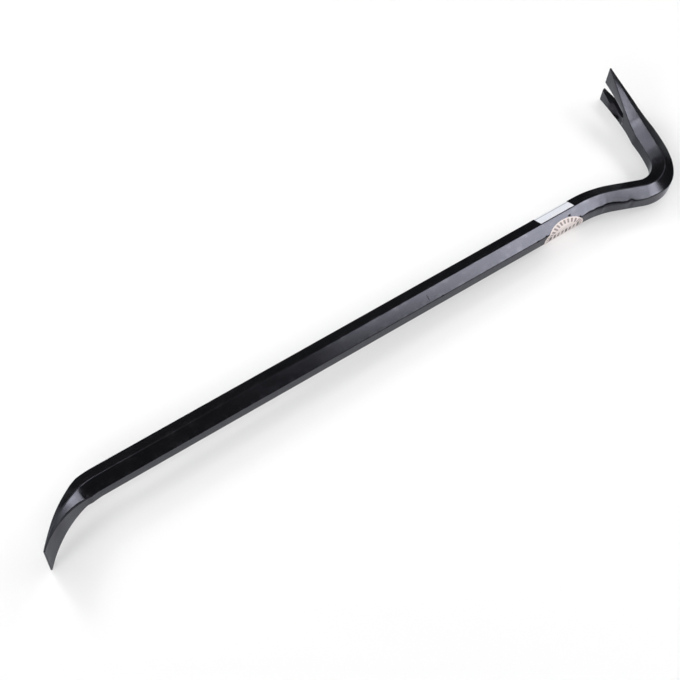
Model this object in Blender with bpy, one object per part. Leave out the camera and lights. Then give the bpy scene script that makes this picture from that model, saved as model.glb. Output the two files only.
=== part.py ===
"""A crowbar: one forged hexagonal bar with a bent flat chisel at one end and a hooked nail claw at the other,
and the two paper labels stuck on it.

Metres, +Z up. The bar is modelled in its own plane, with the shank along +X from the chisel towards the claw
and the hook opening towards +Y. It is then laid on the floor on the three points that it rests on. The origin
is the floor point below the middle of the bar's box.
"""
import math

import bmesh
import bpy
from mathutils import Matrix, Vector
from mathutils.geometry import intersect_point_tri

# Bar stock: a regular hexagon with flats to the front and back and a ridge along the top and the bottom
ACROSS_FLATS = 0.019
CORNER_EASE = 0.0009
EDGE_EASE_SHARE = 0.3

# Centreline from the chisel's edge to the claw's edge: straights have a length, bends a radius and an angle
CHISEL_BLADE_RADIUS = 0.122
CHISEL_BLADE_ANGLE = 17.2
CHISEL_BEND_RADIUS = 0.055
CHISEL_BEND_ANGLE = 33.1
SHANK_LENGTH = 0.440
NECK_BEND_RADIUS = 0.093
NECK_BEND_ANGLE = 20.5
NECK_LENGTH = 0.025
HOOK_RADIUS = 0.0253
HOOK_ANGLE = 93.8
HEEL_RADIUS = 0.146
HEEL_ANGLE = 8.8
CLAW_ARM_LENGTH = 0.0657

# Chisel end, with each length measured back from the edge to where the plain stock begins
CHISEL_EDGE_THICKNESS = 0.0014
CHISEL_WEDGE_LENGTH = 0.0577
CHISEL_WEDGE_POWER = 1.55
CHISEL_EDGE_WIDTH = 0.0369
CHISEL_FLARE_LENGTH = 0.0647
CHISEL_FLARE_POWER = 1.44
CHISEL_FACE_LENGTH = 0.0508
CHISEL_FACE_POWER = 2.3

# Claw end, in the same terms
CLAW_EDGE_THICKNESS = 0.0017
CLAW_WEDGE_LENGTH = 0.0609
CLAW_WEDGE_POWER = 1.13
CLAW_EDGE_WIDTH = 0.0415
CLAW_FLARE_LENGTH = 0.0796
CLAW_FLARE_POWER = 1.47
CLAW_FACE_LENGTH = 0.0483
CLAW_FACE_POWER = 1.27

# Share of the width over the ridges that is flat face
EDGE_FACE_SHARE = 0.98
STOCK_FACE_SHARE = 0.5

# Nail slot at the claw's mid thickness: it sits a little low, and its walls lean open to the inner face
SLOT_MOUTH_WIDTH = 0.0080
SLOT_ROOT_WIDTH = 0.0058
SLOT_DEPTH = 0.0360
SLOT_DROP = 0.0018
SLOT_WALL_LEAN = 13.0
SLOT_ROOT_STEPS = 8
SLOT_OVERRUN = 0.006

# Rectangular label: from the top ridge over the upper flat and down the back flat, short of the neck's bend
LABEL_MARGIN = 0.0045
LABEL_LENGTH = 0.0335
LABEL_WRAP = 0.0195

# Round label: its drop is measured round the bar, from the top ridge over the front to the label's centre
ROUND_LABEL_MARGIN = 0.0015
ROUND_LABEL_DROP = 0.0253
ROUND_LABEL_RADIUS = 0.0200
ROUND_LABEL_TRIM = 0.0002

# Both labels
LABEL_THICKNESS = 0.0002
LABEL_GAP = 0.0003
LABEL_CLEARANCE = 0.0015

# Fineness
STATION_STEP = 0.0035
LABEL_STEP = 0.0015
EASE_POINTS = 3
SHARP_ANGLE = 35.0

# A hull face lies under the bar when its normal's height is below this
DOWNWARD = -0.9

# Colour and roughness of each surface
BLACK_PAINT = ((0.014, 0.014, 0.018, 1.0), 0.22)
WHITE_PAPER = ((0.86, 0.87, 0.88, 1.0), 0.55)
CREAM_PAPER = ((0.83, 0.76, 0.70, 1.0), 0.50)


def clear_scene():
    for item in list(bpy.data.objects):
        bpy.data.objects.remove(item, do_unlink=True)


def material(name, colour, roughness):
    made = bpy.data.materials.new(name)
    made.use_nodes = True
    shader = made.node_tree.nodes["Principled BSDF"]
    shader.inputs["Base Color"].default_value = colour
    shader.inputs["Roughness"].default_value = roughness
    shader.inputs["Metallic"].default_value = 0.0
    return made


def bend(radius, angle):
    """Length, turn and station spacing of an arc: a positive angle turns towards +Y."""
    return radius * math.radians(abs(angle)), math.radians(angle), STATION_STEP


def chisel_stretches():
    """Length, turn and station spacing of each stretch from the chisel's edge to the shank."""
    return (
        bend(CHISEL_BLADE_RADIUS, -CHISEL_BLADE_ANGLE),
        bend(CHISEL_BEND_RADIUS, -CHISEL_BEND_ANGLE),
    )


def shank_and_claw_stretches():
    """Length, turn and station spacing of each stretch from the shank's start to the claw's edge."""
    return (
        (SHANK_LENGTH, 0.0, SHANK_LENGTH),
        bend(NECK_BEND_RADIUS, -NECK_BEND_ANGLE),
        (NECK_LENGTH, 0.0, NECK_LENGTH),
        bend(HOOK_RADIUS, HOOK_ANGLE),
        bend(HEEL_RADIUS, HEEL_ANGLE),
        (CLAW_ARM_LENGTH, 0.0, STATION_STEP),
    )


def step_along(point, heading, length, turn):
    """The point and heading after an arc of this length and turn."""
    chord = length if turn == 0.0 else 2.0 * length / turn * math.sin(turn / 2.0)
    middle = heading + turn / 2.0
    moved = point + chord * Vector((math.cos(middle), math.sin(middle), 0.0))
    return moved, heading + turn


def walk(stretches, distance, point, heading):
    """Stations after the first along these stretches: distance walked, centre and heading."""
    found = []
    for length, turn, spacing in stretches:
        steps = math.ceil(length / spacing)
        for _ in range(steps):
            point, heading = step_along(point, heading, length / steps, turn / steps)
            distance += length / steps
            found.append((distance, point, heading))
    return found


def stations():
    """Distance from the chisel's edge, centre and heading at each section: the shank starts at the origin."""
    edge = (0.0, Vector((0.0, 0.0, 0.0)), math.radians(CHISEL_BLADE_ANGLE + CHISEL_BEND_ANGLE))
    chisel = [edge] + walk(chisel_stretches(), *edge)
    start = chisel[-1][1]
    found = chisel + walk(shank_and_claw_stretches(), *chisel[-1])
    return [(distance, point - start, heading) for distance, point, heading in found]


def wedge(distance, edge, length, power):
    """Thickness between the two flats at a distance from a forged edge."""
    return edge + (ACROSS_FLATS - edge) * min(distance / length, 1.0) ** power


def flare(distance, edge, length, power):
    """Width over the ridges at a distance from a forged edge."""
    across_corners = ACROSS_FLATS / math.cos(math.pi / 6.0)
    return across_corners + (edge - across_corners) * max(1.0 - distance / length, 0.0) ** power


def face_share(distance, length, power):
    """Share of the width that is flat face at a distance from a forged edge."""
    return EDGE_FACE_SHARE - (EDGE_FACE_SHARE - STOCK_FACE_SHARE) * min(distance / length, 1.0) ** power


def chisel_section(distance):
    thickness = wedge(distance, CHISEL_EDGE_THICKNESS, CHISEL_WEDGE_LENGTH, CHISEL_WEDGE_POWER)
    width = flare(distance, CHISEL_EDGE_WIDTH, CHISEL_FLARE_LENGTH, CHISEL_FLARE_POWER)
    return thickness, width, width * face_share(distance, CHISEL_FACE_LENGTH, CHISEL_FACE_POWER)


def claw_section(distance):
    thickness = wedge(distance, CLAW_EDGE_THICKNESS, CLAW_WEDGE_LENGTH, CLAW_WEDGE_POWER)
    width = flare(distance, CLAW_EDGE_WIDTH, CLAW_FLARE_LENGTH, CLAW_FLARE_POWER)
    return thickness, width, width * face_share(distance, CLAW_FACE_LENGTH, CLAW_FACE_POWER)


def section(from_chisel, from_claw):
    """Thickness, width over the ridges and width of the flats of the bar at one station."""
    if from_chisel < from_claw:
        return chisel_section(from_chisel)
    return claw_section(from_claw)


def eased(corners, ease):
    """A closed outline with each corner rounded by a short curve of EASE_POINTS points."""
    outline = []
    for index, corner in enumerate(corners):
        before = corners[index - 1] - corner
        after = corners[(index + 1) % len(corners)] - corner
        start = corner + before.normalized() * min(ease, EDGE_EASE_SHARE * before.length)
        end = corner + after.normalized() * min(ease, EDGE_EASE_SHARE * after.length)
        for step in range(EASE_POINTS):
            t = step / (EASE_POINTS - 1)
            outline.append(start * (1.0 - t) ** 2 + corner * 2.0 * t * (1.0 - t) + end * t**2)
    return outline


def hexagon(thickness, width, face):
    """Section outline in (depth, height): depth runs to the +Y side of the bar and height along +Z."""
    corners = [
        Vector((0.0, width / 2.0)),
        Vector((-thickness / 2.0, face / 2.0)),
        Vector((-thickness / 2.0, -face / 2.0)),
        Vector((0.0, -width / 2.0)),
        Vector((thickness / 2.0, -face / 2.0)),
        Vector((thickness / 2.0, face / 2.0)),
    ]
    return eased(corners, CORNER_EASE)


def place_outline(outline, centre, heading):
    """Outline points in the bar's frame, on the plane square to the centreline."""
    depth_axis = Vector((-math.sin(heading), math.cos(heading), 0.0))
    return [centre + depth_axis * depth + Vector((0.0, 0.0, height)) for depth, height in outline]


def link_mesh(name, mesh_data, finish):
    """A new object for a finished bmesh."""
    bmesh.ops.recalc_face_normals(mesh_data, faces=mesh_data.faces)
    mesh = bpy.data.meshes.new(name)
    mesh_data.to_mesh(mesh)
    mesh_data.free()
    mesh.shade_smooth()
    mesh.set_sharp_from_angle(angle=math.radians(SHARP_ANGLE))
    if finish is not None:
        mesh.materials.append(finish)
    made = bpy.data.objects.new(name, mesh)
    bpy.context.scene.collection.objects.link(made)
    return made


def loft(rings):
    """A closed skin through rings of equal count, with a cap at each end."""
    skin = bmesh.new()
    loops = []
    for ring in rings:
        points = [skin.verts.new(point) for point in ring]
        loops.append([skin.edges.new((points[i - 1], points[i])) for i in range(len(points))])
    for first, second in zip(loops, loops[1:]):
        bmesh.ops.bridge_loops(skin, edges=first + second)
    bmesh.ops.holes_fill(skin, edges=loops[0] + loops[-1], sides=len(rings[0]))
    return skin


def build_bar(finish):
    found = stations()
    total = found[-1][0]
    rings = [
        place_outline(hexagon(*section(distance, total - distance)), centre, heading)
        for distance, centre, heading in found
    ]
    return link_mesh("forged_bar", loft(rings), finish)


def slot_outline(widening):
    """Nail slot in (distance from the claw's edge, height), with each side moved out by widening."""
    mouth = SLOT_MOUTH_WIDTH / 2.0
    root = SLOT_ROOT_WIDTH / 2.0
    root_centre = SLOT_DEPTH - root
    spread = (mouth - root) / root_centre
    half_start = mouth + spread * SLOT_OVERRUN + widening
    outline = [Vector((-SLOT_OVERRUN, -half_start - SLOT_DROP))]
    for step in range(SLOT_ROOT_STEPS + 1):
        angle = math.pi * (step / SLOT_ROOT_STEPS - 0.5)
        reach = root + widening
        outline.append(Vector((root_centre + reach * math.cos(angle), reach * math.sin(angle) - SLOT_DROP)))
    outline.append(Vector((-SLOT_OVERRUN, half_start - SLOT_DROP)))
    return outline


def build_slot_cutter():
    """A slot-shaped plug through the claw, wider on the inner side, which faces the chisel."""
    _, edge, heading = stations()[-1]
    back = Vector((-math.cos(heading), -math.sin(heading), 0.0))
    inward = Vector((-math.sin(heading), math.cos(heading), 0.0))
    lean = math.tan(math.radians(SLOT_WALL_LEAN))
    rings = []
    for depth in (-ACROSS_FLATS / 2.0, ACROSS_FLATS / 2.0):
        outline = slot_outline(depth * lean)
        rings.append(
            [edge + back * along + inward * depth + Vector((0.0, 0.0, height)) for along, height in outline]
        )
    cutter = link_mesh("slot_cutter", loft(rings), None)
    cutter.hide_render = True
    cutter.display_type = "WIRE"
    return cutter


def cut(target, cutter):
    modifier = target.modifiers.new("nail slot", "BOOLEAN")
    modifier.operation = "DIFFERENCE"
    modifier.solver = "EXACT"
    modifier.object = cutter


def label_section():
    """The shank's section as the labels' inner faces follow it, one gap outside the steel."""
    flats = ACROSS_FLATS + 2.0 * LABEL_GAP
    corners = flats / math.cos(math.pi / 6.0)
    return hexagon(flats, corners, corners * STOCK_FACE_SHARE)


def ring_from_top(towards_front):
    """The labels' section as a closed run of points that starts and ends on the top ridge."""
    outline = label_section()
    top = EASE_POINTS // 2
    ring = outline[top:] + outline[: top + 1]
    if not towards_front:
        ring.reverse()
    return ring


def ring_marks(ring):
    """Distance along the ring at each of its points."""
    marks = [0.0]
    for near, far in zip(ring, ring[1:]):
        marks.append(marks[-1] + (far - near).length)
    return marks


def point_at(ring, distance):
    marks = ring_marks(ring)
    for low, high, near, far in zip(marks, marks[1:], ring, ring[1:]):
        if distance <= high:
            return near.lerp(far, (distance - low) / (high - low))
    return ring[-1]


def wrap_points(ring, start, end):
    """Distance and point along the ring from start to end, at its own corners and evenly between them."""
    marks = ring_marks(ring)
    corners = [mark for mark in marks if start < mark < end]
    steps = math.ceil((end - start) / LABEL_STEP)
    even = [start + (end - start) * step / steps for step in range(1, steps)]
    clear = [stop for stop in even if min(abs(stop - mark) for mark in marks) > LABEL_STEP / 4.0]
    stops = sorted([start, end] + corners + clear)
    return [(stop, point_at(ring, stop)) for stop in stops]


def label_sheet(name, rows, finish):
    """A thin label from rows of (low X, high X, section point), with a paper's thickness outwards."""
    sheet = bmesh.new()
    pairs = []
    for low, high, (depth, height) in rows:
        pairs.append((sheet.verts.new((low, depth, height)), sheet.verts.new((high, depth, height))))
    for (low_a, high_a), (low_b, high_b) in zip(pairs, pairs[1:]):
        sheet.faces.new((low_a, high_a, high_b, low_b))
    made = link_mesh(name, sheet, finish)
    face_outwards(made)
    thick = made.modifiers.new("paper", "SOLIDIFY")
    thick.thickness = LABEL_THICKNESS
    thick.offset = 1.0
    thick.use_even_offset = True
    return made


def face_outwards(label):
    """Turns a label's faces away from the bar's centreline."""
    face = label.data.polygons[len(label.data.polygons) // 2]
    if face.normal.y * face.center.y + face.normal.z * face.center.z < 0.0:
        label.data.flip_normals()


def build_bar_label(finish):
    high = SHANK_LENGTH - LABEL_MARGIN
    points = wrap_points(ring_from_top(towards_front=False), 0.0, LABEL_WRAP)
    rows = [(high - LABEL_LENGTH, high, point) for _, point in points]
    return label_sheet("bar_label", rows, finish)


def build_round_label(finish):
    """The round label, which stops short of the rectangular one where they would meet under the bar."""
    ring = ring_from_top(towards_front=True)
    reach = ROUND_LABEL_RADIUS - ROUND_LABEL_TRIM
    free = ring_marks(ring)[-1] - LABEL_WRAP - LABEL_CLEARANCE
    centre = SHANK_LENGTH - ROUND_LABEL_MARGIN - ROUND_LABEL_RADIUS
    rows = []
    for distance, point in wrap_points(ring, ROUND_LABEL_DROP - reach, min(ROUND_LABEL_DROP + reach, free)):
        half = math.sqrt(ROUND_LABEL_RADIUS**2 - (distance - ROUND_LABEL_DROP) ** 2)
        rows.append((centre - half, centre + half, point))
    return label_sheet("round_label", rows, finish)


def centre_of_mass(mesh):
    """Centre of a closed mesh of even density, from the cones between its faces and the origin."""
    mesh.calc_loop_triangles()
    volume = 0.0
    moment = Vector((0.0, 0.0, 0.0))
    for triangle in mesh.loop_triangles:
        a, b, c = (mesh.vertices[index].co for index in triangle.vertices)
        cone = a.dot(b.cross(c)) / 6.0
        volume += cone
        moment += cone * (a + b + c) / 4.0
    return moment / volume


def floor_normal(mesh):
    """Upward normal of the hull face that carries the centre of mass, which is the face the bar lies on."""
    centre = centre_of_mass(mesh)
    hull = bmesh.new()
    for vertex in mesh.vertices:
        hull.verts.new(vertex.co)
    bmesh.ops.convex_hull(hull, input=hull.verts, use_existing_faces=False)
    bmesh.ops.recalc_face_normals(hull, faces=hull.faces)
    upward = Vector((0.0, 0.0, 1.0))
    for face in hull.faces:
        a, b, c = (vertex.co for vertex in face.verts[:3])
        if face.normal.z < DOWNWARD and intersect_point_tri(centre, a, b, c) is not None:
            upward = -face.normal.copy()
    hull.free()
    return upward


def rest_on_floor(bar):
    """An empty that lays the bar on the floor, shank along X, with the box's middle over the origin."""
    up = floor_normal(bar.data)
    along = (Vector((1.0, 0.0, 0.0)) - up * up.x).normalized()
    across = up.cross(along)
    turned = Matrix((along, across, up))
    points = [turned @ vertex.co for vertex in bar.data.vertices]
    low = Vector([min(point[axis] for point in points) for axis in range(3)])
    high = Vector([max(point[axis] for point in points) for axis in range(3)])
    middle = (low + high) / 2.0
    frame = bpy.data.objects.new("bar_at_rest", None)
    bpy.context.scene.collection.objects.link(frame)
    frame.matrix_world = Matrix.Translation((-middle.x, -middle.y, -low.z)) @ turned.to_4x4()
    return frame


def main():
    clear_scene()
    bar = build_bar(material("black_paint", *BLACK_PAINT))
    cutter = build_slot_cutter()
    cut(bar, cutter)
    bar_label = build_bar_label(material("white_paper", *WHITE_PAPER))
    round_label = build_round_label(material("cream_paper", *CREAM_PAPER))
    frame = rest_on_floor(bar)
    for piece in (bar, cutter, bar_label, round_label):
        piece.parent = frame


main()
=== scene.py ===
"""A crowbar on a pale floor: the forged bar and its two paper labels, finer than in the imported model.

Metres, +Z up. The bar is shaped straight along X, bent in its own plane, and then laid on the floor as the
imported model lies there. Its depth runs to the side that the hook opens to, and its height is square to the
bend.
"""
from __future__ import annotations

import logging
import math
from collections.abc import Callable, Sequence
from dataclasses import dataclass, field
from enum import Enum

import bmesh
import bpy
from mathutils import Matrix, Vector


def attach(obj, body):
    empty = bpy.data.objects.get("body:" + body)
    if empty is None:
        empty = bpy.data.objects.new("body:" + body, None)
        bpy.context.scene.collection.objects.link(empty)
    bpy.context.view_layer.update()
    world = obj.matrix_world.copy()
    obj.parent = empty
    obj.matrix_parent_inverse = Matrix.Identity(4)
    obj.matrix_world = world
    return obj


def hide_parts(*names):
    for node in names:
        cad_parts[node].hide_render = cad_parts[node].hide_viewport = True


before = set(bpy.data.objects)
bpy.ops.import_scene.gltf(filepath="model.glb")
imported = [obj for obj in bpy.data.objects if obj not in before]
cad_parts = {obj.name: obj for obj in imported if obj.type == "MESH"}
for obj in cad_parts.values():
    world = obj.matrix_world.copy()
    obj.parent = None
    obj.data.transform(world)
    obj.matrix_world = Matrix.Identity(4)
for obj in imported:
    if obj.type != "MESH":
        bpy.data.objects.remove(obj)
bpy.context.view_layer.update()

LOG = logging.getLogger("crowbar")
MILLIMETRE = 0.001
CORNERS = 6
HALF_SIDE = math.pi / CORNERS
SHEET = "sheet"
RIDGE = "ridge"

Point = tuple[float, float, float]
Colour = tuple[float, float, float]
Range = tuple[float, float]
Marks = tuple[tuple[float, ...], ...]


def mm(value: float) -> float:
    """A length in millimetres as metres."""
    return value * MILLIMETRE


# A point of the straight bar that is nearer than this to its middle plane is a ridge's.
NEAR = mm(0.1)


def read_marks(marks: Marks, distance: float) -> list[float]:
    """Reads a list of marks that runs from the farthest to the nearest.

    Args:
        marks: A distance in millimetres and then some values, for each mark.
        distance: The distance in metres at which they are read.

    Returns:
        The values there, or 0 for each past either end.
    """
    for far, near in zip(marks, marks[1:]):
        if mm(near[0]) <= distance <= mm(far[0]):
            t = (distance - mm(near[0])) / mm(far[0] - near[0])
            return [low + (high - low) * t for high, low in zip(far[1:], near[1:])]
    return [0.0] * (len(marks[0]) - 1)


# Shader maths

# The Mix node has several sockets of each name, so its colour sockets go by number.
MIX_SHARE, MIX_LOW, MIX_HIGH, MIXED = 0, 6, 7, 2


class Value:
    """A shader socket that Python's arithmetic works on."""

    def __init__(self, tree: ShaderTree, socket: bpy.types.NodeSocket) -> None:
        """Wraps an output of one of the tree's nodes."""
        self.tree = tree
        self.socket = socket

    def _math(self, operation: str, *values: Value | float) -> Value:
        """A Math node on these values."""
        return self.tree.node("ShaderNodeMath", {"operation": operation}, dict(enumerate(values)))

    def __add__(self, other: Value | float) -> Value:
        """self + other."""
        return self._math("ADD", self, other)

    def __radd__(self, other: float) -> Value:
        """other + self."""
        return self._math("ADD", other, self)

    def __sub__(self, other: Value | float) -> Value:
        """self - other."""
        return self._math("SUBTRACT", self, other)

    def __rsub__(self, other: float) -> Value:
        """other - self."""
        return self._math("SUBTRACT", other, self)

    def __mul__(self, other: Value | float) -> Value:
        """self * other."""
        return self._math("MULTIPLY", self, other)

    def __rmul__(self, other: float) -> Value:
        """other * self."""
        return self._math("MULTIPLY", other, self)

    def __truediv__(self, other: Value | float) -> Value:
        """self / other."""
        return self._math("DIVIDE", self, other)

    def at_least(self, other: Value | float) -> Value:
        """The larger of the two."""
        return self._math("MAXIMUM", self, other)

    def absolute(self) -> Value:
        """The value without its sign."""
        return self._math("ABSOLUTE", self)

    def fraction(self) -> Value:
        """What is left over the whole number below."""
        return self._math("FRACT", self)

    def between(self, low: float, high: float) -> Value:
        """A share from 0 to 1 as a value from low to high."""
        return self * (high - low) + low

    def ramp(self, low: float, high: float) -> Value:
        """A smooth step from 0 at low to 1 at high; low may be the larger."""
        settings = {"interpolation_type": "SMOOTHSTEP"}
        sockets = {"Value": self, "From Min": low, "From Max": high, "To Min": 0.0, "To Max": 1.0}
        return self.tree.node("ShaderNodeMapRange", settings, sockets)


Input = Value | float | Sequence[float]


@dataclass(frozen=True)
class Mottle:
    """Smooth noise: patches in a metre, how many finer layers it has, and how strong those are."""

    scale: float
    detail: float
    roughness: float


class ShaderTree:
    """The nodes of one material, which starts empty."""

    def __init__(self, name: str) -> None:
        """Makes the material.

        Args:
            name: The material's name.
        """
        self.material = bpy.data.materials.new(name)
        self.material.use_nodes = True
        self.nodes = self.material.node_tree.nodes
        self.links = self.material.node_tree.links
        self.nodes.clear()

    def node(
        self,
        kind: str,
        settings: dict[str, object] | None = None,
        sockets: dict[str | int, Input] | None = None,
        output: str | int = 0,
    ) -> Value:
        """Adds one node.

        Args:
            kind: The node's type.
            settings: Its own properties, set first.
            sockets: A value or a link for each input, by name or number.
            output: The output to give back.

        Returns:
            That output as a value.
        """
        made = self.nodes.new(kind)
        for key, setting in (settings or {}).items():
            setattr(made, key, setting)
        for key, given in (sockets or {}).items():
            target = made.inputs[key]
            if isinstance(given, Value):
                self.links.new(given.socket, target)
            else:
                target.default_value = given
        return Value(self, made.outputs[output])

    def position(self) -> Value:
        """The point on the object."""
        return self.node("ShaderNodeTexCoord", output="Object")

    def part(self, vector: Value, axis: str) -> Value:
        """One axis of a vector."""
        return self.node("ShaderNodeSeparateXYZ", None, {0: vector}, axis)

    def sheet(self) -> Value:
        """The place on a label's flat sheet, from 0 to 1 each way."""
        return self.node("ShaderNodeUVMap", {"uv_map": SHEET})

    def attribute(self, name: str) -> Value:
        """A number that the mesh carries."""
        return self.node("ShaderNodeAttribute", {"attribute_name": name}, output="Fac")

    def noise(self, mottle: Mottle) -> Value:
        """The mottle's value at the point on the object, from 0 to 1."""
        sockets = {"Scale": mottle.scale, "Detail": mottle.detail, "Roughness": mottle.roughness}
        return self.node("ShaderNodeTexNoise", None, {"Vector": self.position(), **sockets}, "Fac")

    def blend(self, share: Value, low: Value | Colour, high: Value | Colour) -> Value:
        """A colour between two others."""
        ends = [end if isinstance(end, Value) else (*end, 1.0) for end in (low, high)]
        sockets = {MIX_SHARE: share, MIX_LOW: ends[0], MIX_HIGH: ends[1]}
        return self.node("ShaderNodeMix", {"data_type": "RGBA"}, sockets, MIXED)

    def bump(self, height: Value, distance: float, strength: float) -> Value:
        """Surface relief of this height, whose full range is the distance in metres."""
        sockets = {"Strength": strength, "Distance": distance, "Height": height}
        return self.node("ShaderNodeBump", None, sockets, "Normal")

    def finish(self, sockets: dict[str | int, Input]) -> bpy.types.Material:
        """Ends the material in a Principled shader.

        Args:
            sockets: The shader's inputs.

        Returns:
            The material.
        """
        shader = self.node("ShaderNodeBsdfPrincipled", None, sockets)
        self.links.new(shader.socket, self.nodes.new("ShaderNodeOutputMaterial").inputs["Surface"])
        return self.material


# Modelling


class Bench:
    """One mesh object while it is shaped in edit mode."""

    def __init__(self, name: str) -> None:
        """Takes the primitive that was just added.

        Args:
            name: The object's name.
        """
        self.piece: bpy.types.Object = bpy.context.object
        self.piece.name = name
        self.piece.data.name = name
        bpy.ops.object.transform_apply(location=True, rotation=True, scale=True)

    @staticmethod
    def clear_selection() -> None:
        """Deselects every object."""
        bpy.ops.object.select_all(action="DESELECT")

    def edit(self) -> None:
        """Opens the mesh for editing, with nothing picked."""
        bpy.context.view_layer.objects.active = self.piece
        bpy.ops.object.mode_set(mode="EDIT")
        bpy.ops.mesh.select_mode(type="VERT")
        bpy.ops.mesh.select_all(action="DESELECT")

    def face_out(self) -> None:
        """Points every face outwards."""
        bpy.ops.mesh.select_all(action="SELECT")
        bpy.ops.mesh.normals_make_consistent(inside=False)

    def close(self) -> None:
        """Leaves edit mode."""
        bpy.ops.object.mode_set(mode="OBJECT")

    def pick(self, test: Callable[[bmesh.types.BMVert], bool]) -> None:
        """Selects the vertices that pass a test, and only those.

        Args:
            test: Says whether a vertex is picked.
        """
        mesh = bmesh.from_edit_mesh(self.piece.data)
        for vertex in mesh.verts:
            vertex.select = test(vertex)
        mesh.select_flush_mode()

    def apply(self, kind: str, **settings: object) -> None:
        """Adds a modifier and applies it.

        Args:
            kind: The modifier's type.
            **settings: Its properties.
        """
        bpy.context.view_layer.objects.active = self.piece
        modifier = self.piece.modifiers.new(kind.lower(), kind)
        for key, setting in settings.items():
            setattr(modifier, key, setting)
        bpy.ops.object.modifier_apply(modifier=modifier.name)

    def smooth(self, angle: float) -> None:
        """Shades the mesh smooth across its soft edges.

        Args:
            angle: The turn in degrees from which an edge stays sharp.
        """
        Bench.clear_selection()
        self.piece.select_set(True)
        bpy.context.view_layer.objects.active = self.piece
        bpy.ops.object.shade_smooth_by_angle(angle=math.radians(angle))


# The bar


@dataclass(frozen=True)
class Station:
    """One cross-section of the bar: its distance from the chisel's edge, its centre and its heading."""

    distance: float
    centre: Vector
    heading: float


@dataclass(frozen=True)
class Stretch:
    """A straight or an arc of the centreline; a positive turn, in degrees, is to the hook's open side."""

    length: float
    turn: float = 0.0
    spacing: float = mm(2.5)

    @staticmethod
    def arc(radius: float, turn: float) -> Stretch:
        """A bend.

        Args:
            radius: The radius of its centreline in millimetres.
            turn: Its angle in degrees.

        Returns:
            The stretch.
        """
        return Stretch(mm(radius) * math.radians(abs(turn)), turn)

    def walk(self, start: Station) -> list[Station]:
        """The stations after the start.

        Args:
            start: The last station of the stretch before.

        Returns:
            The stretch's own stations.
        """
        steps = math.ceil(self.length / self.spacing)
        step = self.length / steps
        turn = math.radians(self.turn) / steps
        chord = step if turn == 0.0 else 2.0 * step / turn * math.sin(turn / 2.0)
        found = []
        last = start
        for _ in range(steps):
            middle = last.heading + turn / 2.0
            moved = last.centre + chord * Vector((math.cos(middle), math.sin(middle), 0.0))
            last = Station(last.distance + step, moved, last.heading + turn)
            found.append(last)
        return found


@dataclass(frozen=True)
class Centreline:
    """The bar's centreline from the chisel's edge to the claw's; the shank starts at the origin."""

    shank: Stretch = Stretch(mm(440.0), spacing=mm(10.0))
    chisel: tuple[Stretch, ...] = (
        Stretch(mm(22.1), -9.8),
        Stretch(mm(29.5), -18.1),
        Stretch(mm(4.0), -10.0),
        Stretch(mm(13.85), -12.6),
    )
    neck: tuple[Stretch, ...] = (Stretch.arc(93.0, -20.5), Stretch(mm(25.0)), Stretch.arc(25.3, 93.8))
    arm: tuple[Stretch, ...] = (Stretch.arc(146.0, 8.8), Stretch(mm(66.9)))

    def stations(self) -> list[Station]:
        """The stations of the whole bar.

        Returns:
            Every station, the chisel's edge first.
        """
        opening = -sum(stretch.turn for stretch in self.chisel)
        found = [Station(0.0, Vector((0.0, 0.0, 0.0)), math.radians(opening))]
        for stretch in self.chisel:
            found += stretch.walk(found[-1])
        start = found[-1].centre
        for stretch in (self.shank, *self.neck, *self.arm):
            found += stretch.walk(found[-1])
        return [Station(at.distance, at.centre - start, at.heading) for at in found]


@dataclass(frozen=True)
class Section:
    """A six-sided section: thickness between the flats, width over the ridges, and width of a flat."""

    thickness: float
    width: float
    face: float


@dataclass(frozen=True)
class ForgedEnd:
    """How the stock is drawn out to an edge, in millimetres back from that edge."""

    edge_thickness: float
    wedge_length: float
    wedge_power: float
    edge_width: float
    flare_length: float
    flare_power: float
    face_length: float
    face_power: float
    edge_share: float = 0.98
    stock_share: float = 0.5
    corner_length: float = 3.0
    corner_drop: float = 0.0

    def section(self, distance: float, across_flats: float) -> Section:
        """The section at a distance from the edge.

        Args:
            distance: The distance in metres.
            across_flats: The plain stock's thickness in metres.

        Returns:
            The section.
        """
        across_corners = across_flats / math.cos(HALF_SIDE)
        drawn = min(distance / mm(self.wedge_length), 1.0) ** self.wedge_power
        thickness = mm(self.edge_thickness) + (across_flats - mm(self.edge_thickness)) * drawn
        flared = max(1.0 - distance / mm(self.flare_length), 0.0) ** self.flare_power
        width = across_corners + (mm(self.edge_width) - across_corners) * flared
        width -= mm(self.corner_drop) * max(1.0 - distance / mm(self.corner_length), 0.0) ** 2
        narrowed = min(distance / mm(self.face_length), 1.0) ** self.face_power
        share = self.edge_share - (self.edge_share - self.stock_share) * narrowed
        return Section(thickness, width, width * share)


@dataclass(frozen=True)
class Rest:
    """How the bar lies on the floor: the upward direction in its own frame, and where the shank starts."""

    up: Point = (-0.0164912, 0.0998707, 0.9948637)
    origin: Point = (-0.2429852, -0.0275995, 0.020671)

    def matrix(self) -> Matrix:
        """The change from the bar's own frame to the floor's.

        Returns:
            The matrix.
        """
        up = Vector(self.up).normalized()
        along = (Vector((1.0, 0.0, 0.0)) - up * up.x).normalized()
        turned = Matrix((along, up.cross(along), up))
        return Matrix.Translation(self.origin) @ turned.to_4x4()


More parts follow.
